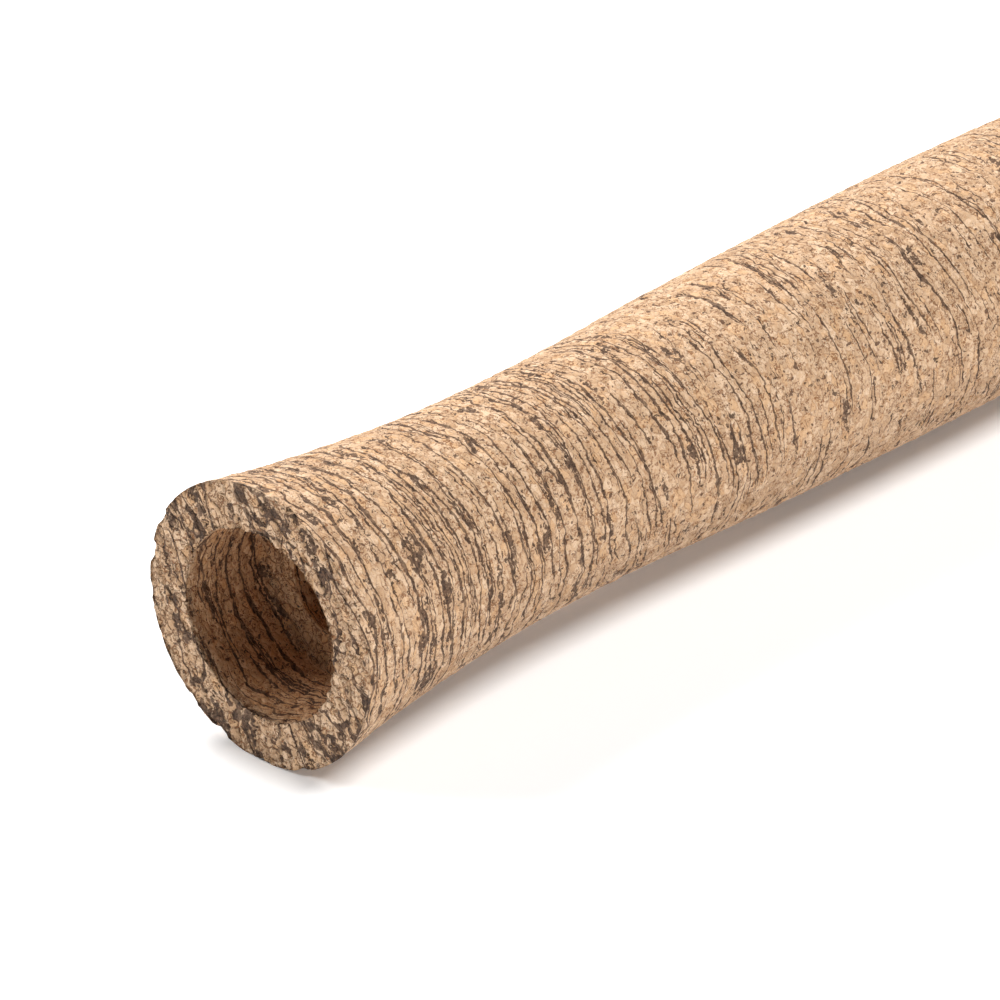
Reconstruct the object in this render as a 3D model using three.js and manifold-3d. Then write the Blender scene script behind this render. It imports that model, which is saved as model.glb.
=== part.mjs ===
// A turned grip of burl cork for a fishing rod, lying on its side.
// It is one piece: a waisted body that flares at both ends and swells in the middle, bored right
// through for the rod, with a wide, flat-bottomed recess in the end that faces -X.
// Millimetres, +Z up. The origin is on the surface that the grip lies on, below its middle.
import * as THREE from "three";
import { mergeVertices } from "three/addons/utils/BufferGeometryUtils.js";
import Module from "manifold-3d";

// Driving dimensions
const LENGTH = 200;
const RIM_RADIUS = 14.5; // the flare at each end
const SWELL_RADIUS = 13.15; // the thick part in the middle
// The turned side of the near half, from flare to waist to swell, as [along, radius]
const SIDE_STATIONS = [
  [0, RIM_RADIUS],
  [10, 13.1],
  [27, 11.75],
  [43, 11.62],
  [62, 12.35],
  [84, 12.95],
  [LENGTH / 2, SWELL_RADIUS],
];
const RECESS_RADIUS = 9.85; // takes the hood of a reel seat
const RECESS_DEPTH = 10.1;
const BORE_RADIUS = 5.5; // takes the rod
const RIM_ROUNDING = 0.5;
const MOUTH_ROUNDING = 0.25;
const REST_DEPTH = 0.12; // how far the soft rims are flattened where the grip lies on them

// How finely the turned surface is faceted
const SEGMENTS = 64;
const SIDE_RINGS = 36;
const BORE_RINGS = 8;
const CORNER_STEPS = 2;

// Pits where a grain of cork has torn out of the turned side. A pit is longest round the grip.
const PITS = 44;
const PIT_SPREAD = [0.03, 0.97]; // the stretch of the side that has pits, as shares of it
const PIT_REACH = [0.5, 1.3]; // half of a pit's length
const PIT_WIDTH = 0.55; // a pit's width as a share of its length
const PIT_DEPTH = 0.45; // and its depth

// Chips along the edge of each rim, longest round the grip too
const CHIPS_PER_RIM = 13;
const CHIP_REACH = [0.35, 0.75]; // how far a chip bites into the end face and into the side
const CHIP_STRETCH = 1.8; // a chip's length as a share of its bite
const CHIP_STANDOFF = 0.25; // how far outside the rim a chip is centred
const CHIP_TURN = 0.29; // turns the chips, in radians, so that none is where the grip lies

// Steps that spread pits and chips evenly but without a visible pattern: the golden ratio, and one
// over the plastic number, which keeps a second quantity independent of the first.
const GOLDEN = (Math.sqrt(5) - 1) / 2;
const PLASTIC = 0.7548776662466927;

const WELD_DISTANCE = 1e-4; // points closer than this are one point of the solid

// How high the axis is above the surface, with one of the facets facing down
const AXIS_HEIGHT = RIM_RADIUS * Math.cos(Math.PI / SEGMENTS) - REST_DEPTH;

const wasm = await Module();
wasm.setup();

const share = (number) => number - Math.floor(number); // the part after the decimal point
const mix = ([low, high], t) => low + (high - low) * t;

// The turned side from one rim to the other, as (radius, distance along the grip). The far half
// repeats the near half back to front.
function sideCurve() {
  const farHalf = SIDE_STATIONS.slice(0, -1)
    .reverse()
    .map(([along, radius]) => [LENGTH - along, radius]);
  const points = [...SIDE_STATIONS, ...farHalf].map(
    ([along, radius]) => new THREE.Vector3(radius, along, 0),
  );
  return new THREE.CatmullRomCurve3(points, false, "centripetal");
}

// A rounded corner at (radius, along): a quarter circle from one direction to the next.
function corner(radius, along, rounding, fromRadial, fromAlong, toRadial, toAlong) {
  const points = [];
  for (let step = 0; step <= CORNER_STEPS; step += 1) {
    const turn = ((step / CORNER_STEPS) * Math.PI) / 2;
    const out = 1 - Math.sin(turn);
    const past = 1 - Math.cos(turn);
    points.push(
      new THREE.Vector2(
        radius - rounding * (fromRadial * out - toRadial * past),
        along - rounding * (fromAlong * out - toAlong * past),
      ),
    );
  }
  return points;
}

// The closed section that is turned: out over the near rim, along the side, in over the far
// rim, back through the bore, and out again across the recess.
function section() {
  const clearOfRim = 2 * RIM_ROUNDING;
  const side = sideCurve()
    .getSpacedPoints(SIDE_RINGS)
    .map((point) => new THREE.Vector2(point.x, point.y))
    .filter(({ y }) => y > clearOfRim && y < LENGTH - clearOfRim);
  const bore = [];
  for (let ring = 0; ring <= BORE_RINGS; ring += 1) {
    const along = mix([LENGTH - clearOfRim, RECESS_DEPTH], ring / BORE_RINGS);
    bore.push(new THREE.Vector2(BORE_RADIUS, along));
  }
  const points = [
    ...corner(RECESS_RADIUS, 0, MOUTH_ROUNDING, 0, -1, 1, 0),
    ...corner(RIM_RADIUS, 0, RIM_ROUNDING, 1, 0, 0, 1),
    ...side,
    ...corner(RIM_RADIUS, LENGTH, RIM_ROUNDING, 0, 1, -1, 0),
    ...corner(BORE_RADIUS, LENGTH, MOUTH_ROUNDING, -1, 0, 0, -1),
    ...bore,
    new THREE.Vector2(RECESS_RADIUS, RECESS_DEPTH),
  ];
  return [...points, points[0].clone()];
}

function solidOf(geometry) {
  const bare = geometry.clone();
  bare.deleteAttribute("normal");
  bare.deleteAttribute("uv");
  const merged = mergeVertices(bare, WELD_DISTANCE);
  return new wasm.Manifold(
    new wasm.Mesh({
      numProp: 3,
      vertProperties: merged.attributes.position.array,
      triVerts: new Uint32Array(merged.index.array),
    }),
  );
}

function geometryOf(solid) {
  const { vertProperties, triVerts } = solid.getMesh();
  return new THREE.BufferGeometry()
    .setAttribute("position", new THREE.BufferAttribute(vertProperties, 3))
    .setIndex(new THREE.BufferAttribute(triVerts, 1));
}

// The turned blank, along +X from its recessed end, with a flat of the side facing down.
function turnedBlank() {
  const blank = new THREE.LatheGeometry(section(), SEGMENTS);
  blank.rotateZ(-Math.PI / 2);
  blank.rotateX(Math.PI / SEGMENTS);
  return solidOf(blank);
}

// A lump of missing cork: a many-sided ball at an angle round the grip, with its half sizes
// round, along and out of the grip.
function lump(radius, along, angle, [halfRound, halfAlong, halfOut]) {
  const ball = new THREE.IcosahedronGeometry(1, 0);
  ball.scale(halfAlong, halfRound, halfOut);
  ball.translate(0, 0, radius);
  ball.rotateX(-angle);
  ball.translate(along, 0, 0);
  return solidOf(ball);
}

// Small pits outnumber large ones, which is what squaring the share does.
function pits() {
  const side = sideCurve();
  const made = [];
  for (let pit = 1; pit <= PITS; pit += 1) {
    const place = side.getPointAt(mix(PIT_SPREAD, share(pit * GOLDEN)));
    const angle = 2 * Math.PI * share(pit * PLASTIC);
    const reach = mix(PIT_REACH, share(pit * GOLDEN * PLASTIC) ** 2);
    made.push(lump(place.x, place.y, angle, [reach, reach * PIT_WIDTH, reach * PIT_DEPTH]));
  }
  return made;
}

function chips() {
  const made = [];
  for (const along of [0, LENGTH]) {
    for (let chip = 1; chip <= CHIPS_PER_RIM; chip += 1) {
      const angle = CHIP_TURN + (2 * Math.PI * (chip + share(chip * GOLDEN))) / CHIPS_PER_RIM;
      const reach = mix(CHIP_REACH, share(chip * PLASTIC));
      const size = [reach * CHIP_STRETCH, reach, reach];
      made.push(lump(RIM_RADIUS + CHIP_STANDOFF, along, angle, size));
    }
  }
  return made;
}

// What the surface that the grip lies on presses off the rims: all that is below AXIS_HEIGHT.
function belowRest() {
  const slab = new THREE.BoxGeometry(2 * LENGTH, 4 * RIM_RADIUS, RIM_RADIUS);
  slab.translate(0, 0, -AXIS_HEIGHT - RIM_RADIUS / 2);
  return solidOf(slab);
}

function grip() {
  let solid = turnedBlank();
  for (const bite of [...pits(), ...chips(), belowRest()]) solid = solid.subtract(bite);
  const cork = new THREE.MeshStandardMaterial({
    color: new THREE.Color(0.74, 0.56, 0.4),
    roughness: 0.85,
    metalness: 0,
  });
  const mesh = new THREE.Mesh(geometryOf(solid), cork);
  mesh.name = "burl_cork_grip";
  return mesh;
}

const part = new THREE.Group();
const body = grip();
body.position.set(-LENGTH / 2, 0, AXIS_HEIGHT);
part.add(body);

export default part;
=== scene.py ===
"""Looks for the burl cork grip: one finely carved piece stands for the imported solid, made of one cork
material, which is a block of pressed cork in space. The side, the ends, the recess and the bore are
all cuts through it.

Its layers lie nearly across the grip. Dark bark between them shows as thin lines where a cut crosses
the layers, as on the side, and as blotches where a cut runs along them, as on the ends."""

import math

import bpy
import numpy as np
from mathutils import Euler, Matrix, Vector


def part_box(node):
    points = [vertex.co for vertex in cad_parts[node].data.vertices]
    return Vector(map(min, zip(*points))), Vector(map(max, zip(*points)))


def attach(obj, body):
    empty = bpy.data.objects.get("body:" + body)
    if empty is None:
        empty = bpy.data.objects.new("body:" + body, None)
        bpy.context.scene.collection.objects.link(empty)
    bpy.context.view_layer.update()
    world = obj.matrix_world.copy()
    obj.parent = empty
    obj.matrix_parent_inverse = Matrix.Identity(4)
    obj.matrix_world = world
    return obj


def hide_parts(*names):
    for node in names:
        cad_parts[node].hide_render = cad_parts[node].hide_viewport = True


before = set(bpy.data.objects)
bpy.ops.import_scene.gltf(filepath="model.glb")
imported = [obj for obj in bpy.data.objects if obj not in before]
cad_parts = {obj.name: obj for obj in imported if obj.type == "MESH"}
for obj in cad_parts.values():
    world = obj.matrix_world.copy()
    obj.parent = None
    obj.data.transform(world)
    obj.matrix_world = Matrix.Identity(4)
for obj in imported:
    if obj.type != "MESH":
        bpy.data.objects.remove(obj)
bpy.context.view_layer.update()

MM = 0.001
NODE = "burl_cork_grip"

# The grip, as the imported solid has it
BOX_LOW, BOX_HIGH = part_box(NODE)
NEAR_END = BOX_LOW[0]
FAR_END = BOX_HIGH[0]
LENGTH = FAR_END - NEAR_END
RIM_RADIUS = 14.5 * MM
RIM_FACETS = 64
AXIS_HEIGHT = BOX_HIGH[2] - RIM_RADIUS * math.cos(math.pi / RIM_FACETS)
RECESS_RADIUS = 9.85 * MM
RECESS_DEPTH = 10.1 * MM
BORE_RADIUS = 5.5 * MM

# The side's radius at some distances from the near end, in millimetres
SIDE_STATIONS = [(0, 14.5), (10, 13.1), (27, 11.75), (43, 11.62), (62, 12.35), (84, 12.95), (100, 13.15)]

# Pits and chips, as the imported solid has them
PITS = 44
PIT_SPREAD = (0.03, 0.97)
PIT_REACH = (0.5 * MM, 1.3 * MM)
PIT_WIDTH = 0.55
PIT_DEPTH = 0.45
CHIPS_PER_RIM = 13
CHIP_REACH = (0.35 * MM, 0.75 * MM)
CHIP_STRETCH = 1.8
CHIP_STANDOFF = 0.25 * MM
CHIP_TURN = 0.29

# Steps that spread pits and chips evenly, but in no pattern
GOLDEN = (math.sqrt(5) - 1) / 2
PLASTIC = 0.7548776662466927

# The lobes of the lumpy balls that are torn out, and how far they stand out as shares of the ball
WIDE_LOBES = 3
WIDE_LOBE = 0.18
WIDE_LOBE_TURN = 40
NARROW_LOBES = 7
NARROW_LOBE = 0.1

# The camera, as the photo has it
IMAGE_SIZE = 1000
SENSOR_WIDTH = 36
FOCAL_PIXELS = 6000
CAMERA_AZIMUTH = math.radians(-46.68)
CAMERA_ELEVATION = math.radians(28.24)
RIM_CENTRE_PIXEL = (257.0, 627.2)
RIM_CENTRE_DISTANCE = 0.5595

# The carved surface
CURVE_STEPS = 400
TURN_STEPS = 400
CORNER_STEPS = 3
FINE = 0.22 * MM
COARSE = 2.0 * MM
RIM_ROUNDING = 0.3 * MM
MOUTH_ROUNDING = 0.2 * MM
DEEP_IN_BORE = 7 * MM
MOST_TRIANGLES = 196000
MEAN_RELIEF = 0.1 * MM

# The cork's layers, in millimetres. Strike is the way they run across an end face, as (y, z), and dip
# is at a right angle to it. Going down the camera's side, the layers lean away from the near end, by
# this much per millimetre at some distances along the grip.
STRIKE = (-0.5, -0.866)
DIP = (-0.866, 0.5)
LEAN_WAY = (-0.6, -0.8)
LEAN_ALONG = [(0, 0.04), (20, 0.08), (36, 0.14), (46, 0.2), (58, 0.1), (69, 0.0), (83, 0.14), (100, 0.1)]

# Nearly all noise lies between these
NOISE_RANGE = (0.3, 0.7)

# How the layers wave and jag, the jags less near the ends, in millimetres. Here and below, sizes in
# threes are across the layers, along the strike and along the dip.
WAVES = (9.0, 14.0, 8.0)
WAVE_HEIGHT = 3.0
JAG_SIZE = 1.0
JAG_HEIGHT = 0.7
JAGS_KEPT = (0.4, 0.75)
CALM_REACH = 4.0

# Granules of cork, each a step off its neighbours, the finer grains in them, whose sizes are along x, y
# and z, and crumbs, all in millimetres
GRANULES = (0.8, 1.2, 1.0)
GRANULE_JAGS = 0.9
GRANULE_STEP = 0.2
FINE_GRAINS = (0.26, 0.3, 0.3)
FINE_STEP = 0.06
CRUMB_SIZE = 1.0

# Sheets of bark between the layers, in millimetres. Each set has a spacing, and a start in spacings.
# The sheets bend most at the ends. Each is in patches, whose first size is in sheets, and which begin
# and are whole where their noise has these values.
SHEETS = (1.5, 0.5)
OTHER_SHEETS = (2.0, 11.15)
FINE_SHEETS = (0.6, 5.7)
FINE_SHARE = 0.75
HALF_THICKNESS = (0.11, 0.16)
NIBBLE = 0.03
SHEET_EDGE = (-0.03, 0.02)
PATCHES = (0.27, 20.0, 7.0)
PATCHED = (0.45, 0.57)
BENDS = (4.0, 9.0, 3.0)
OTHER_BENDS = (4.0, 8.0, 3.0)
OTHER_PLACE = (31, 7, 3)
BEND_HEIGHT = (3.6, 1.8)
BEND_REACH = 7.0

# How much bark there is, which adds to the noise of its patches: crowded in places, in fine sheets only
# where they bundle and less at the ends, and more or less at some distances along the grip
CROWDS = (6.0, 16.0, 16.0)
CROWDING = 0.06
BUNDLES = (2.5, 12.0, 4.0)
BUNDLED = (0.54, 0.62)
UNBUNDLED = -0.3
FINE_AT_ENDS = -0.15
FINE_REACH = 5.0
BARK_ALONG = [
    (0, 0.1), (4, 0.04), (14, 0.02), (26, 0.05), (36, 0.07), (46, 0.01), (56, -0.03), (68, -0.06),
    (78, -0.01), (85, 0.05), (93, -0.04), (110, -0.03),
]

# Flakes of bark: their sizes, how ragged they are along the strike and the dip, how rare and crowded,
# and the holes in them
FLAKES = (0.8, 4.5, 1.4)
FLAKE_JAGS = 2.0
FLAKE_GRAINS = 0.3
FLAKES_FROM = 0.965
FLAKE_CROWDING = 0.6
FLAKE_HOLES = 0.5
FLAKE_WHOLE = (0.38, 0.48)

# Squiggles, which follow the middle of the crumbs' noise, gaps between granules, and pits, which are
# where that noise is highest. Other noise breaks the squiggles and the gaps off in places.
SQUIGGLE_EDGE = (0.01, 0.04)
GAP_EDGE = (-0.02, 0.05)
GAP_CRUMBS = 0.08
BROKEN_SIZE = 0.7
BROKEN_PLACE = (5, 9, 3)
SQUIGGLES_ABOVE = (0.48, 0.54)
GAPS_BELOW = (0.56, 0.38)
PITTED = (0.62, 0.66)

# How deep the surface is carved, in millimetres, where the cork's roughness is 1. Granules are rounded
# off, and torn ones filled in again, between two distances from their middles.
UNEVEN = 0.08
ROUNDED = 0.06
ROUND_EDGE = (0.3, 0.8)
STEPPED = 0.04
TORN_FROM = 0.86
TORN = 0.09
TORN_EDGE = (0.3, 0.6)
BARK_SUNK = 0.05
PIT_SUNK = 0.15

# The cork's colours, and tints that they are multiplied by
TAN = (0.50, 0.32, 0.185)
CREAM = (0.68, 0.485, 0.32)
RUSSET = (0.62, 0.385, 0.205)
GRAIN_DARK = (0.9, 0.82, 0.74)
GRAIN_LIGHT = (1.07, 1.1, 1.15)
CREVICE_TINT = (0.42, 0.26, 0.155)
DOT = (0.11, 0.055, 0.03)
BARK_DARK = (0.036, 0.018, 0.01)
BARK_LIGHT = (0.13, 0.068, 0.038)
PIT = (0.08, 0.045, 0.027)
# Painted shade, multiplied into the colour of the recess's wall and shoulder
RECESS_PAINTED_SHADE = (0.9, 0.77, 0.64)

# Where painted shade darkens the recess, in millimetres: into its wall, and from its mouth to where the
# painted shade is whole
SHADE_CLEARANCE = 0.3
SHADE_REACH = 2.0

# How much of each colour shows, and the values between which it sets in. Where a share has two values,
# they are the side's and a rough face's, which have these roughnesses.
SIDE_TO_FACE = (1.0, 2.0)
MOTTLE_SIZE = 0.28
MOTTLE_SHARE = 0.55
FINE_TONE_SHARE = 0.45
GRAIN_RANGE = (0.1, 0.9)
RUSSET_FROM = 0.8
RUSSET_SHARE = 0.6
CREVICE_SHARE = 0.85
GAP_SHARE = (0.45, 1.0)
SPECKED = (0.67, 0.7)
SPECK_GRAINS = 0.12
SPECK_SHARE = 0.55
DOT_SIZE = 0.58
DOT_PLACE = (17, 3, 11)
DOTTED = (0.67, 0.71)
DOT_SHARE = (0.9, 0.4)
BARK_RANGE = (0.2, 0.8)
FLAKE_SHARE = 0.9
PIT_SHARE = 0.9

# Bark between layers is fainter where the jags' noise is low
FAINT_JAGS = (0.35, 0.6)
FAINT_SHARE = (0.75, 0.97)

# The heights of what is too fine to carve, and what they are multiplied by on the side and on a face
DOME_EDGE = (0.3, 0.9)
DOME_BUMP = -0.6
CRUMB_BUMP = -0.6
CRACK_BUMP = -0.5
MOTTLE_BUMP = 0.4
BUMP_SHARE = (0.14, 0.4)

# The map for baking, in millimetres: the room between its parts, where the middles of its flat faces
# are, how nearly a flat face's triangles point along the axis, as a cosine, and how far off a triangle
# may be and still belong to a part
MAP_GAP = 2.0
NEAR_FACE_AT = 90
FAR_FACE_AT = 125
SHOULDER_AT = 160
AXIAL = 0.75
FLAT_SLACK = 1.0
SHOULDER_SLACK = 0.2
RECESS_SLACK = 0.5
BORE_SLACK = 0.6

# The lights: each softbox's azimuth and elevation in degrees, given as the camera's are, and its watts
SOFTBOX_DISTANCE = 1.5
SOFTBOX_SIZE = 0.58
SOFTBOXES = {
    "front_softbox": (15, 60, 20),
    "low_softbox": (8, 15, 2.5),
    "back_softbox": (170, 45, 22),
    "end_softbox": (-135, 34, 12.5),
}
ROOM_LIGHT = 0.11
FLOOR_REACH = 4.0


def make_camera():
    """Looks down on the recessed end, with the rim's centre where the photo has it."""
    data = bpy.data.cameras.new("camera")
    data.sensor_width = SENSOR_WIDTH
    data.lens = SENSOR_WIDTH * FOCAL_PIXELS / IMAGE_SIZE
    data.clip_start = 0.01
    data.clip_end = 20
    camera = bpy.data.objects.new("camera", data)
    bpy.context.collection.objects.link(camera)
    turn = Euler((math.pi / 2 - CAMERA_ELEVATION, 0, CAMERA_AZIMUTH))
    middle = IMAGE_SIZE / 2
    right = (RIM_CENTRE_PIXEL[0] - middle) / FOCAL_PIXELS
    up = (middle - RIM_CENTRE_PIXEL[1]) / FOCAL_PIXELS
    to_rim = turn.to_matrix() @ Vector((right, up, -1)) * RIM_CENTRE_DISTANCE
    camera.rotation_euler = turn
    camera.location = Vector((NEAR_END, 0, AXIS_HEIGHT)) - to_rim
    bpy.context.scene.camera = camera


def share(number):
    """The part after the decimal point."""
    return number - math.floor(number)


def mix(ends, t):
    return ends[0] + (ends[1] - ends[0]) * t


def side_curve():
    """(along, radius) down the turned side: a centripetal Catmull-Rom curve through the stations and,
    back to front, through them again."""
    far_half = [(LENGTH / MM - along, radius) for along, radius in reversed(SIDE_STATIONS[:-1])]
    points = np.array(SIDE_STATIONS + far_half) * MM
    points = np.vstack([2 * points[0] - points[1], points, 2 * points[-1] - points[-2]])
    curve = []
    for a, b, c, d in zip(points, points[1:], points[2:], points[3:]):
        before, gap, after = [math.sqrt(np.linalg.norm(step)) for step in (b - a, c - b, d - c)]
        way_in = ((b - a) / before - (c - a) / (before + gap) + (c - b) / gap) * gap
        way_out = ((c - b) / gap - (d - b) / (gap + after) + (d - c) / after) * gap
        t = np.linspace(0, 1, CURVE_STEPS, endpoint=False)[:, None]
        bend = (2 * b - 2 * c + way_in + way_out) * t**3 + (3 * c - 3 * b - 2 * way_in - way_out) * t**2
        curve.append(b + way_in * t + bend)
    curve.append(points[-2:-1])
    return np.vstack(curve).T


ALONG, RADIUS = side_curve()


def line(start, end, step):
    """Points from start to just before end, about a step apart."""
    start, end = np.array(start), np.array(end)
    count = max(1, round(np.linalg.norm(end - start) / step))
    return start + (end - start) * np.arange(count)[:, None] / count


def corner(middle, start_degrees, end_degrees, rounding):
    """A rounded corner, to just before its end."""
    angles = np.radians(np.linspace(start_degrees, end_degrees, CORNER_STEPS + 1)[:-1])
    return np.array(middle) + rounding * np.stack([np.cos(angles), np.sin(angles)], 1)


def side_line():
    """The turned side between the rounded rims."""
    clear = (ALONG > RIM_ROUNDING) & (ALONG < LENGTH - RIM_ROUNDING)
    along, radius = ALONG[clear], RADIUS[clear]
    travelled = np.concatenate([[0], np.cumsum(np.hypot(np.diff(along), np.diff(radius)))])
    wanted = np.linspace(0, travelled[-1], round(travelled[-1] / FINE))
    return np.stack([np.interp(wanted, travelled, radius), np.interp(wanted, travelled, along)], 1)


def section():
    """The closed section that is turned, as (radius, along), with how rough the cork is there: out over
    the near face, along the side, in over the far face, back through the bore and out of the recess. It
    stands proud of the finished surface by what the relief takes off it."""
    rim, mouth = RIM_ROUNDING, MOUTH_ROUNDING
    near, far = RECESS_DEPTH + DEEP_IN_BORE, LENGTH - DEEP_IN_BORE
    face, edge, side, shoulder, hidden = 2.4, 3.0, 1.0, 1.8, 0.0
    outer, worn_edge, flat, inner = 1, 1.6, 0, -1
    stretches = [
        (line((RECESS_RADIUS + mouth, 0), (RIM_RADIUS - rim, 0), FINE), face, flat),
        (corner((RIM_RADIUS - rim, rim), -90, 0, rim), edge, worn_edge),
        (side_line(), side, outer),
        (corner((RIM_RADIUS - rim, LENGTH - rim), 0, 90, rim), edge, worn_edge),
        (line((RIM_RADIUS - rim, LENGTH), (BORE_RADIUS + mouth, LENGTH), FINE), face, flat),
        (corner((BORE_RADIUS + mouth, LENGTH - mouth), 90, 180, mouth), edge, inner),
        (line((BORE_RADIUS, LENGTH - mouth), (BORE_RADIUS, far), FINE), side, inner),
        (line((BORE_RADIUS, far), (BORE_RADIUS, near), COARSE), hidden, inner),
        (line((BORE_RADIUS, near), (BORE_RADIUS, RECESS_DEPTH), FINE), side, inner),
        (line((BORE_RADIUS, RECESS_DEPTH), (RECESS_RADIUS, RECESS_DEPTH), FINE), shoulder, flat),
        (line((RECESS_RADIUS, RECESS_DEPTH), (RECESS_RADIUS, mouth), FINE), side, inner),
        (corner((RECESS_RADIUS + mouth, mouth), 180, 270, mouth), edge, inner),
    ]
    points = np.vstack([points for points, _, _ in stretches])
    roughness = np.concatenate([np.full(len(points), rough) for points, rough, _ in stretches])
    outwards = np.concatenate([np.full(len(points), way) for points, _, way in stretches])
    points[:, 0] += MEAN_RELIEF * roughness * outwards
    return points, roughness


def turned_mesh():
    """The section turned about the grip's axis as quads that face out."""
    profile, roughness = section()
    rings = len(profile)
    angles = 2 * math.pi * np.arange(TURN_STEPS) / TURN_STEPS
    radius, along = profile[:, :1], profile[:, 1:]
    across = -radius * np.sin(angles)
    height = AXIS_HEIGHT + radius * np.cos(angles)
    vertices = np.stack([NEAR_END + along + 0 * across, across, height], -1)
    ring = np.arange(rings)[:, None] * TURN_STEPS
    next_ring = np.roll(ring, -1, 0)
    turn = np.arange(TURN_STEPS)
    next_turn = np.roll(turn, -1)
    corners = [ring + turn, ring + next_turn, next_ring + next_turn, next_ring + turn]
    quads = np.stack(corners, -1).reshape(-1, 4)
    mesh = bpy.data.meshes.new("burl_cork_grip_carved")
    mesh.vertices.add(rings * TURN_STEPS)
    mesh.vertices.foreach_set("co", vertices.ravel())
    mesh.loops.add(quads.size)
    mesh.loops.foreach_set("vertex_index", quads.ravel())
    mesh.polygons.add(len(quads))
    mesh.polygons.foreach_set("loop_start", 4 * np.arange(len(quads)))
    mesh.update(calc_edges=True)
    rough = mesh.attributes.new("rough", "FLOAT", "POINT")
    rough.data.foreach_set("value", np.repeat(roughness, TURN_STEPS))
    return mesh


class Graph:
    """Makes nodes in a shader or a geometry tree. Each method makes one and returns its output."""

    def __init__(self, tree):
        self.tree = tree

    def node(self, kind, output=0, inputs=(), **settings):
        node = self.tree.nodes.new(kind)
        for name, value in settings.items():
            setattr(node, name, value)
        for key, value in dict(inputs).items():
            if isinstance(value, bpy.types.NodeSocket):
                self.tree.links.new(value, node.inputs[key])
            else:
                node.inputs[key].default_value = value
        return node.outputs[output]

    def math(self, operation, a, b=0.0):
        return self.node("ShaderNodeMath", inputs={0: a, 1: b}, operation=operation)

    def add(self, a, b):
        return self.math("ADD", a, b)

    def minus(self, a, b):
        return self.math("SUBTRACT", a, b)

    def times(self, a, b):
        return self.math("MULTIPLY", a, b)

    def most(self, a, b):
        return self.math("MAXIMUM", a, b)

    def over(self, a, b):
        return self.math("GREATER_THAN", a, b)

    def ramp(self, value, low, high, to_low=0.0, to_high=1.0):
        """Smoothly from to_low, where value is low, to to_high, where it is high."""
        inputs = {"Value": value, "From Min": low, "From Max": high, "To Min": to_low, "To Max": to_high}
        return self.node("ShaderNodeMapRange", inputs=inputs, interpolation_type="SMOOTHSTEP")

    def profile(self, value, stops):
        """A smooth curve of value through the stops, flat past the first and the last."""
        start, end = stops[0][0], stops[-1][0]
        part = self.node("ShaderNodeMapRange", inputs={"Value": value, "From Min": start, "From Max": end})
        node = self.tree.nodes.new("ShaderNodeFloatCurve")
        node.mapping.use_clip = False
        curve = node.mapping.curves[0]
        for _ in stops[2:]:
            curve.points.new(0.5, 0.5)
        for point, (at, height) in zip(curve.points, stops):
            point.location = ((at - start) / (end - start), height)
        node.mapping.update()
        self.tree.links.new(part, node.inputs["Value"])
        return node.outputs[0]

    def vector(self, x, y, z):
        return self.node("ShaderNodeCombineXYZ", inputs={0: x, 1: y, 2: z})

    def split(self, vector):
        node = self.tree.nodes.new("ShaderNodeSeparateXYZ")
        self.tree.links.new(vector, node.inputs[0])
        return node.outputs

    def scaled(self, vector, *by):
        return self.node("ShaderNodeVectorMath", inputs={0: vector, 1: by}, operation="MULTIPLY")

    def shifted(self, vector, *by):
        return self.node("ShaderNodeVectorMath", inputs={0: vector, 1: by}, operation="ADD")

    def noise(self, vector, size=1.0, detail=0.0, roughness=0.5):
        """Noise from 0 to 1 whose largest lumps are about size across."""
        inputs = {"Vector": vector, "Scale": 1 / size, "Detail": detail, "Roughness": roughness}
        return self.node("ShaderNodeTexNoise", inputs=inputs)

    def cells(self, vector):
        """Space in cells of about 1: how far off the middle of its cell a place is, and three random
        numbers that each cell has."""
        node = self.tree.nodes.new("ShaderNodeTexVoronoi")
        node.inputs["Scale"].default_value = 1.0
        self.tree.links.new(vector, node.inputs["Vector"])
        return node.outputs["Distance"], *self.split(node.outputs["Color"])

    def border(self, vector):
        """How far a place is from the nearest border between the same cells."""
        inputs = {"Vector": vector, "Scale": 1.0}
        return self.node("ShaderNodeTexVoronoi", "Distance", inputs, feature="DISTANCE_TO_EDGE")

    def blend(self, factor, a, b, how="MIX"):
        """Colour a where factor is 0, and b where it is 1."""
        colours = [(*colour, 1) if isinstance(colour, tuple) else colour for colour in (a, b)]
        inputs = {0: factor, 6: colours[0], 7: colours[1]}
        return self.node("ShaderNodeMix", 2, inputs, data_type="RGBA", blend_type=how)

    def tint(self, factor, a, b):
        """Colour a where factor is 0, and a times b where it is 1."""
        return self.blend(factor, a, b, "MULTIPLY")


def layer_space(g, layers, sizes):
    """Space squeezed so that what has these sizes in the cork comes out 1 in size."""
    return g.vector(*[g.times(place, 1 / size) for place, size in zip(layers, sizes)])


def from_near_end(g, place):
    """How far along the grip a place is, and how far beside and above its axis, in millimetres."""
    return g.split(g.shifted(place, -NEAR_END / MM, 0, -AXIS_HEIGHT / MM))


def layer_axes(g, x, y, z, jags):
    """How far a place is across the wavy and jagged layers, along their strike and along their dip."""
    strike = g.add(g.times(y, STRIKE[0]), g.times(z, STRIKE[1]))
    dip = g.add(g.times(y, DIP[0]), g.times(z, DIP[1]))
    down = g.add(g.times(y, LEAN_WAY[0]), g.times(z, LEAN_WAY[1]))
    across = g.minus(x, g.times(g.profile(x, LEAN_ALONG), down))
    waves = g.noise(layer_space(g, (across, strike, dip), WAVES), detail=1.0)
    return g.add(across, g.add(g.times(waves, WAVE_HEIGHT), jags)), strike, dip


def bent(g, layers, sizes, height, elsewhere=(0, 0, 0)):
    """The layers bent by noise of these sizes, which is taken elsewhere in the noise if wanted."""
    across, strike, dip = layers
    lumps = g.noise(g.shifted(layer_space(g, layers, sizes), *elsewhere), detail=1.0)
    return g.add(across, g.times(g.minus(lumps, 0.5), height)), strike, dip


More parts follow.
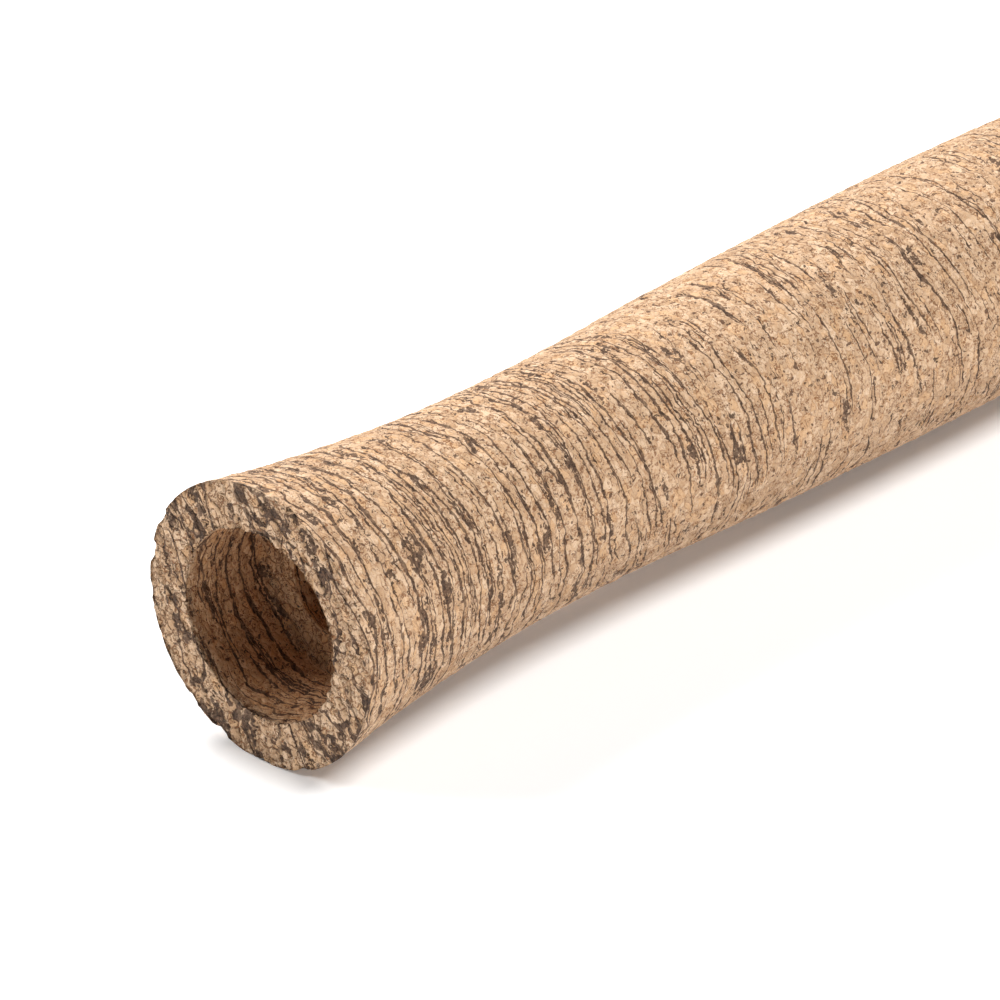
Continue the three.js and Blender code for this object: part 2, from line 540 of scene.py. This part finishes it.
def bark_sheets(g, layers, sheets, thickness, keep, ragged):
    """Bark between layers: sheets in ragged patches that thin out to nothing."""
    across, strike, dip = layers
    spacing, start = sheets
    place = g.add(g.times(across, 1 / spacing), start)
    sheet = g.math("ROUND", place)
    away = g.times(g.math("ABSOLUTE", g.minus(place, sheet)), spacing)
    patches = g.noise(layer_space(g, (sheet, strike, dip), PATCHES), detail=1.0)
    half = g.times(g.ramp(g.add(patches, keep), *PATCHED), thickness)
    return g.ramp(g.add(g.minus(away, half), ragged), *SHEET_EDGE, 1.0, 0.0)


def seams(g, one_way, other_way, half, nibbled, keep, fine_keep):
    """Two sets of sheets that cross, and finer ones beside the first."""
    coarse = g.most(
        bark_sheets(g, one_way, SHEETS, half, keep, nibbled),
        bark_sheets(g, other_way, OTHER_SHEETS, half, keep, nibbled),
    )
    fine = bark_sheets(g, one_way, FINE_SHEETS, g.times(half, FINE_SHARE), fine_keep, nibbled)
    return g.most(coarse, fine)


def flakes(g, place, layers, jags, fine_edge, keep):
    """Bark in flakes with ragged edges and holes."""
    across, strike, dip = layers
    ragged = (across, g.add(strike, g.times(jags, FLAKE_JAGS)), g.add(dip, g.times(fine_edge, FLAKE_GRAINS)))
    _, chance, _, _ = g.cells(layer_space(g, ragged, FLAKES))
    here = g.over(g.add(chance, g.times(keep, FLAKE_CROWDING)), FLAKES_FROM)
    whole = g.ramp(g.noise(place, FLAKE_HOLES, detail=2.0, roughness=0.7), *FLAKE_WHOLE)
    return g.times(here, whole)


def cork(g, position):
    """What the cork is at a place, by name."""
    place = g.scaled(position, 1 / MM, 1 / MM, 1 / MM)
    x, y, z = from_near_end(g, place)
    to_end = g.minus(LENGTH / MM / 2, g.math("ABSOLUTE", g.minus(x, LENGTH / MM / 2)))
    jags = g.noise(place, JAG_SIZE, detail=2.0, roughness=0.65)
    crumbs = g.noise(place, CRUMB_SIZE, detail=3.0, roughness=0.7)
    jags_kept = g.ramp(to_end, 0.0, CALM_REACH, *JAGS_KEPT)
    across, strike, dip = layer_axes(g, x, y, z, g.times(g.times(jags, JAG_HEIGHT), jags_kept))

    _, fine_step, fine_edge, fine_tone = g.cells(g.scaled(place, *[1 / size for size in FINE_GRAINS]))
    granules = layer_space(g, (across, strike, g.add(dip, g.times(jags, GRANULE_JAGS))), GRANULES)
    off_centre, step, body, tone = g.cells(granules)
    steps = g.times(g.add(g.times(step, GRANULE_STEP), g.times(fine_step, FINE_STEP)), jags_kept)
    layers = (g.add(across, steps), strike, dip)

    crowds = g.noise(layer_space(g, layers, CROWDS), detail=1.0)
    keep = g.add(g.ramp(crowds, *NOISE_RANGE, -CROWDING, CROWDING), g.profile(x, BARK_ALONG))
    bundled = g.ramp(g.noise(layer_space(g, layers, BUNDLES)), *BUNDLED, UNBUNDLED, 0.0)
    fine_keep = g.add(g.add(keep, bundled), g.ramp(to_end, 0.0, FINE_REACH, FINE_AT_ENDS, 0.0))
    bend = g.ramp(to_end, 0.0, BEND_REACH, *BEND_HEIGHT)
    one_way = bent(g, layers, BENDS, bend)
    other_way = bent(g, layers, OTHER_BENDS, bend, OTHER_PLACE)
    half = g.ramp(body, 0.0, 1.0, *HALF_THICKNESS)
    nibbled = g.ramp(crumbs, *NOISE_RANGE, NIBBLE, -NIBBLE)

    broken = g.noise(g.shifted(place, *BROKEN_PLACE), BROKEN_SIZE, detail=1.0)
    squiggle = g.ramp(g.math("ABSOLUTE", g.minus(crumbs, 0.5)), *SQUIGGLE_EDGE, 1.0, 0.0)
    gap = g.ramp(g.minus(g.border(granules), g.times(crumbs, GAP_CRUMBS)), *GAP_EDGE, 1.0, 0.0)
    return {
        "place": place,
        "jags": jags,
        "seam": seams(g, one_way, other_way, half, nibbled, keep, fine_keep),
        "flake": flakes(g, place, one_way, jags, fine_edge, keep),
        "off_centre": off_centre,
        "body": body,
        "tone": tone,
        "fine_tone": fine_tone,
        "fine_edge": fine_edge,
        "crumbs": crumbs,
        "squiggle": g.times(squiggle, g.ramp(broken, *SQUIGGLES_ABOVE)),
        "gap": g.times(gap, g.ramp(broken, *GAPS_BELOW)),
        "pit": g.ramp(crumbs, *PITTED),
    }


def relief(g, fields, rough):
    """How far the surface is carved in, in millimetres, which is more the rougher it is."""
    uneven = g.ramp(fields["crumbs"], *NOISE_RANGE, 0.0, UNEVEN)
    rounded = g.ramp(fields["off_centre"], *ROUND_EDGE, 0.0, ROUNDED)
    stepped = g.times(fields["tone"], STEPPED)
    deep = g.ramp(fields["off_centre"], *TORN_EDGE, TORN, 0.0)
    torn = g.times(g.over(fields["body"], TORN_FROM), deep)
    everywhere = g.times(g.add(g.add(uneven, rounded), g.add(stepped, torn)), rough)
    bark = g.most(fields["seam"], fields["flake"])
    sunk = g.add(g.times(bark, BARK_SUNK), g.times(fields["pit"], PIT_SUNK))
    return g.add(everywhere, g.times(sunk, g.over(rough, 0.0)))


def carve(obj):
    """Moves the dense surface in by the cork's own pattern."""
    tree = bpy.data.node_groups.new("cork_relief", "GeometryNodeTree")
    tree.interface.new_socket("Geometry", in_out="INPUT", socket_type="NodeSocketGeometry")
    tree.interface.new_socket("Geometry", in_out="OUTPUT", socket_type="NodeSocketGeometry")
    g = Graph(tree)
    geometry = g.node("NodeGroupInput")
    position = g.node("GeometryNodeInputPosition")
    normal = g.node("GeometryNodeInputNormal")
    rough = g.node("GeometryNodeInputNamedAttribute", inputs={"Name": "rough"}, data_type="FLOAT")
    inward = g.times(relief(g, cork(g, position), rough), -MM)
    offset = g.node("ShaderNodeVectorMath", inputs={0: normal, "Scale": inward}, operation="SCALE")
    moved = g.node("GeometryNodeSetPosition", inputs={"Geometry": geometry, "Offset": offset})
    end = tree.nodes.new("NodeGroupOutput")
    tree.links.new(moved, end.inputs[0])
    obj.modifiers.new("relief", "NODES").node_group = tree


def apply_modifiers(obj):
    mesh = bpy.data.meshes.new_from_object(obj.evaluated_get(bpy.context.evaluated_depsgraph_get()))
    obj.modifiers.clear()
    obj.data = mesh


def thin_out(obj):
    """Leaves fewest triangles where the surface is plain and most where it is torn."""
    modifier = obj.modifiers.new("thin_out", "DECIMATE")
    modifier.ratio = MOST_TRIANGLES / (2 * len(obj.data.polygons))
    modifier.use_collapse_triangulate = True
    apply_modifiers(obj)


def places(mesh):
    """The mesh's vertices as an array."""
    flat = np.empty(3 * len(mesh.vertices), np.float32)
    mesh.vertices.foreach_get("co", flat)
    return flat.reshape(-1, 3)


def move(mesh, vertices):
    mesh.vertices.foreach_set("co", vertices.astype(np.float32).ravel())
    mesh.update()


def tear(vertices, along, radius, angle, half_sizes, into):
    """Pushes what is inside a lumpy ball out through its wall. The ball's half sizes and the direction
    of the push are given along, round and out of the grip."""
    round_way = np.array([0, -math.cos(angle), -math.sin(angle)])
    out_way = np.array([0, -math.sin(angle), math.cos(angle)])
    ways = np.stack([np.array([1.0, 0, 0]), round_way, out_way])
    middle = np.array([NEAR_END + along, 0, AXIS_HEIGHT]) + radius * out_way
    near = np.flatnonzero(np.abs(vertices[:, 0] - middle[0]) < 2 * max(half_sizes))
    offset = (vertices[near] - middle) @ ways.T / half_sizes
    lobes = np.arctan2(offset[:, 1], offset[:, 0])
    wide = WIDE_LOBE * np.sin(WIDE_LOBES * lobes + WIDE_LOBE_TURN * angle)
    narrow = NARROW_LOBE * np.sin(NARROW_LOBES * lobes)
    offset *= 1 + wide[:, None] + narrow[:, None]
    inside = (offset**2).sum(1) < 1
    offset, near = offset[inside], near[inside]
    push = np.array(into) / np.linalg.norm(into)
    slope = push / half_sizes
    half_b = offset @ slope
    a, c = slope @ slope, (offset**2).sum(1) - 1
    distance = (np.sqrt(half_b**2 - a * c) - half_b) / a
    vertices[near] += distance[:, None] * (push @ ways)


def tear_out(vertices):
    """The pits of the side and the chips of the rims."""
    travelled = np.concatenate([[0], np.cumsum(np.hypot(np.diff(ALONG), np.diff(RADIUS)))])
    for pit in range(1, PITS + 1):
        place = mix(PIT_SPREAD, share(pit * GOLDEN)) * travelled[-1]
        along, radius = np.interp(place, travelled, ALONG), np.interp(place, travelled, RADIUS)
        reach = mix(PIT_REACH, share(pit * GOLDEN * PLASTIC) ** 2)
        sizes = np.array([PIT_WIDTH, 1, PIT_DEPTH]) * reach
        tear(vertices, along, radius, 2 * math.pi * share(pit * PLASTIC), sizes, (0, 0, -1))
    for along, inwards in ((0, 1), (LENGTH, -1)):
        for chip in range(1, CHIPS_PER_RIM + 1):
            angle = CHIP_TURN + 2 * math.pi * (chip + share(chip * GOLDEN)) / CHIPS_PER_RIM
            reach = mix(CHIP_REACH, share(chip * PLASTIC))
            sizes = np.array([1, CHIP_STRETCH, 1]) * reach
            tear(vertices, along, RIM_RADIUS + CHIP_STANDOFF, angle, sizes, (inwards, 0, -1))


def keep_in_box(mesh):
    """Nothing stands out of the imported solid's rim or box, which also flattens the rims where the grip
    lies."""
    vertices = places(mesh)
    across, height = vertices[:, 1], vertices[:, 2] - AXIS_HEIGHT
    shrink = np.minimum(1, (BOX_HIGH[2] - AXIS_HEIGHT) / np.hypot(across, height))
    vertices[:, 1], vertices[:, 2] = across * shrink, height * shrink + AXIS_HEIGHT
    move(mesh, np.clip(vertices, BOX_LOW, BOX_HIGH))


def lay_out(mesh):
    """A map for baking: the side, the bore and the recess unrolled, and the flat faces beside them."""
    corners = len(mesh.loops)
    vertex = np.empty(corners, np.int32)
    mesh.loops.foreach_get("vertex_index", vertex)
    face = np.repeat(np.arange(corners // 3), 3)
    at = (places(mesh)[vertex] - [NEAR_END, 0, AXIS_HEIGHT]) / MM
    middle = at.reshape(-1, 3, 3).mean(1)
    normal = np.cross(at[1::3] - at[::3], at[2::3] - at[::3])
    axial = np.abs(normal[:, 0]) > AXIAL * np.linalg.norm(normal, axis=1)
    radius = np.hypot(middle[:, 1], middle[:, 2])
    length, depth = LENGTH / MM, RECESS_DEPTH / MM
    at_end = (middle[:, 0] < FLAT_SLACK) | (middle[:, 0] > length - FLAT_SLACK)
    inside = radius < RECESS_RADIUS / MM - SHOULDER_SLACK
    on_shoulder = (np.abs(middle[:, 0] - depth) < FLAT_SLACK) & inside
    flat = axial & (at_end | on_shoulder)
    in_recess = (middle[:, 0] < depth) & (radius < RECESS_RADIUS / MM + RECESS_SLACK)
    in_bore = (radius < BORE_RADIUS / MM + BORE_SLACK) & ~in_recess

    angle = np.arctan2(-at[:, 1], at[:, 2])
    face_angle = np.arctan2(-middle[:, 1], middle[:, 2])[face]
    turn = face_angle + (angle - face_angle + math.pi) % (2 * math.pi) - math.pi
    side_width = 2 * math.pi * RIM_RADIUS / MM
    bore_width = 2 * math.pi * BORE_RADIUS / MM
    recess_width = 2 * math.pi * RECESS_RADIUS / MM
    spread = turn / (2 * math.pi) + 0.5
    u, v = at[:, 0] + MAP_GAP, spread * side_width + MAP_GAP
    bore_row = side_width + 2 * MAP_GAP
    face_row = bore_row + bore_width + MAP_GAP
    v = np.where(in_bore[face], spread * bore_width + bore_row, v)
    v = np.where(in_recess[face], at[:, 0] + face_row, v)
    u = np.where(in_recess[face], spread * recess_width + 2 * MAP_GAP, u)
    column = np.where(middle[:, 0] < length / 2, NEAR_FACE_AT, FAR_FACE_AT)
    column = np.where(on_shoulder, SHOULDER_AT, column)[face]
    u = np.where(flat[face], column - at[:, 1], u)
    v = np.where(flat[face], face_row + RIM_RADIUS / MM + at[:, 2], v)
    layer = mesh.uv_layers.new(name="OFBake")
    whole = length + 2 * MAP_GAP
    layer.uv.foreach_set("vector", (np.stack([u, v], 1) / whole).astype(np.float32).ravel())


def painted_recess_shade(g, place):
    """How much painted shade darkens a place: 1 on the recess's wall and shoulder, less near its mouth, and
    0 on the rest of the grip.
    """
    x, y, z = from_near_end(g, place)
    from_axis = g.node("ShaderNodeVectorMath", "Value", {0: g.vector(0.0, y, z)}, operation="LENGTH")
    narrow = g.over(RECESS_RADIUS / MM + SHADE_CLEARANCE, from_axis)
    return g.times(narrow, g.times(g.ramp(x, 0.0, SHADE_REACH), g.over(LENGTH / MM / 2, x)))


def cork_colour(g, fields, mottle, crevice, dots, rough):
    """Tan, cream and russet granules, with dark crevices, dots and bark, and painted shade in the recess."""
    colour = g.blend(fields["tone"], TAN, CREAM)
    colour = g.blend(g.times(g.over(fields["body"], RUSSET_FROM), RUSSET_SHARE), colour, RUSSET)
    mottled = g.times(g.ramp(mottle, *NOISE_RANGE), MOTTLE_SHARE)
    grain = g.add(g.times(fields["fine_tone"], FINE_TONE_SHARE), mottled)
    colour = g.tint(1.0, colour, g.blend(g.ramp(grain, *GRAIN_RANGE), GRAIN_DARK, GRAIN_LIGHT))
    specks = g.ramp(g.add(mottle, g.times(fields["fine_edge"], SPECK_GRAINS)), *SPECKED)
    dark = g.most(g.times(crevice, CREVICE_SHARE), g.times(specks, SPECK_SHARE))
    colour = g.tint(dark, colour, CREVICE_TINT)
    colour = g.blend(g.times(dots, g.ramp(rough, *SIDE_TO_FACE, *DOT_SHARE)), colour, DOT)
    bark = g.blend(g.ramp(grain, *BARK_RANGE), BARK_DARK, BARK_LIGHT)
    colour = g.blend(g.times(fields["flake"], FLAKE_SHARE), colour, bark)
    seam = g.times(fields["seam"], g.ramp(fields["jags"], *FAINT_JAGS, *FAINT_SHARE))
    colour = g.blend(seam, colour, bark)
    colour = g.blend(g.times(fields["pit"], PIT_SHARE), colour, PIT)
    # Painted shade darkens the recess's wall and shoulder
    return g.tint(painted_recess_shade(g, fields["place"]), colour, RECESS_PAINTED_SHADE)


def cork_bump(g, fields, mottle, crevice, dots, rough):
    """What is too fine to carve, which is deeper where the cork is rough."""
    domes = g.ramp(fields["off_centre"], *DOME_EDGE, 0.0, DOME_BUMP)
    cracks = g.times(g.most(crevice, dots), CRACK_BUMP)
    sunk = g.add(domes, g.add(g.times(fields["crumbs"], CRUMB_BUMP), cracks))
    height = g.times(g.add(g.times(mottle, MOTTLE_BUMP), sunk), g.ramp(rough, *SIDE_TO_FACE, *BUMP_SHARE))
    return g.node("ShaderNodeBump", inputs={"Strength": 1.0, "Distance": MM, "Height": height})


def cork_material():
    material = bpy.data.materials.new("burl_cork")
    material.use_nodes = True
    tree = material.node_tree
    g = Graph(tree)
    fields = cork(g, g.node("ShaderNodeTexCoord", "Object"))
    rough = g.node("ShaderNodeAttribute", "Fac", attribute_name="rough")
    mottle = g.noise(fields["place"], MOTTLE_SIZE, detail=2.0, roughness=0.8)
    gap_share = g.ramp(rough, *SIDE_TO_FACE, *GAP_SHARE)
    crevice = g.most(fields["squiggle"], g.times(fields["gap"], gap_share))
    dots = g.ramp(g.noise(g.shifted(fields["place"], *DOT_PLACE), DOT_SIZE, detail=1.0), *DOTTED)

    shader = tree.nodes["Principled BSDF"]
    shader.inputs["Specular IOR Level"].default_value = 0.45
    shader.inputs["Roughness"].default_value = 0.9
    tree.links.new(cork_colour(g, fields, mottle, crevice, dots, rough), shader.inputs["Base Color"])
    tree.links.new(cork_bump(g, fields, mottle, crevice, dots, rough), shader.inputs["Normal"])
    return material


def make_grip():
    grip = bpy.data.objects.new("burl_cork_grip_carved", turned_mesh())
    bpy.context.collection.objects.link(grip)
    carve(grip)
    apply_modifiers(grip)
    vertices = places(grip.data)
    tear_out(vertices)
    move(grip.data, vertices)
    thin_out(grip)
    keep_in_box(grip.data)
    lay_out(grip.data)
    grip.data.polygons.foreach_set("use_smooth", np.ones(len(grip.data.polygons), bool))
    grip.data.materials.append(cork_material())
    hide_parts(NODE)
    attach(grip, "root")


def make_floor():
    """Pale, and glowing faintly so that it comes out as white as the photo's."""
    mesh = bpy.data.meshes.new("floor")
    corners = [(x * FLOOR_REACH, y * FLOOR_REACH, 0) for x, y in ((-1, -1), (1, -1), (1, 1), (-1, 1))]
    mesh.from_pydata(corners, [], [(0, 1, 2, 3)])
    floor = bpy.data.objects.new("floor", mesh)
    bpy.context.collection.objects.link(floor)
    material = bpy.data.materials.new("floor")
    material.use_nodes = True
    shader = material.node_tree.nodes["Principled BSDF"]
    shader.inputs["Base Color"].default_value = (0.97, 0.97, 0.97, 1)
    shader.inputs["Roughness"].default_value = 0.9
    shader.inputs["Specular IOR Level"].default_value = 0.2
    shader.inputs["Emission Color"].default_value = (1, 1, 1, 1)
    shader.inputs["Emission Strength"].default_value = 0.1
    mesh.materials.append(material)


def add_softbox(name, azimuth, elevation, watts):
    """A square soft light that faces the grip, in a direction given as the camera's is."""
    data = bpy.data.lights.new(name, "AREA")
    data.shape = "SQUARE"
    data.size = SOFTBOX_SIZE
    data.energy = watts
    light = bpy.data.objects.new(name, data)
    bpy.context.collection.objects.link(light)
    turn = Euler((math.pi / 2 - math.radians(elevation), 0, math.radians(azimuth)))
    light.rotation_euler = turn
    light.location = turn.to_matrix() @ Vector((0, 0, SOFTBOX_DISTANCE))


def light_studio():
    world = bpy.data.worlds.new("studio")
    bpy.context.scene.world = world
    world.use_nodes = True
    background = world.node_tree.nodes["Background"]
    background.inputs["Color"].default_value = (1, 1, 1, 1)
    background.inputs["Strength"].default_value = ROOM_LIGHT
    for name, (azimuth, elevation, watts) in SOFTBOXES.items():
        add_softbox(name, azimuth, elevation, watts)
    bpy.context.scene.view_settings.view_transform = "Standard"


make_camera()
make_grip()
make_floor()
light_studio()
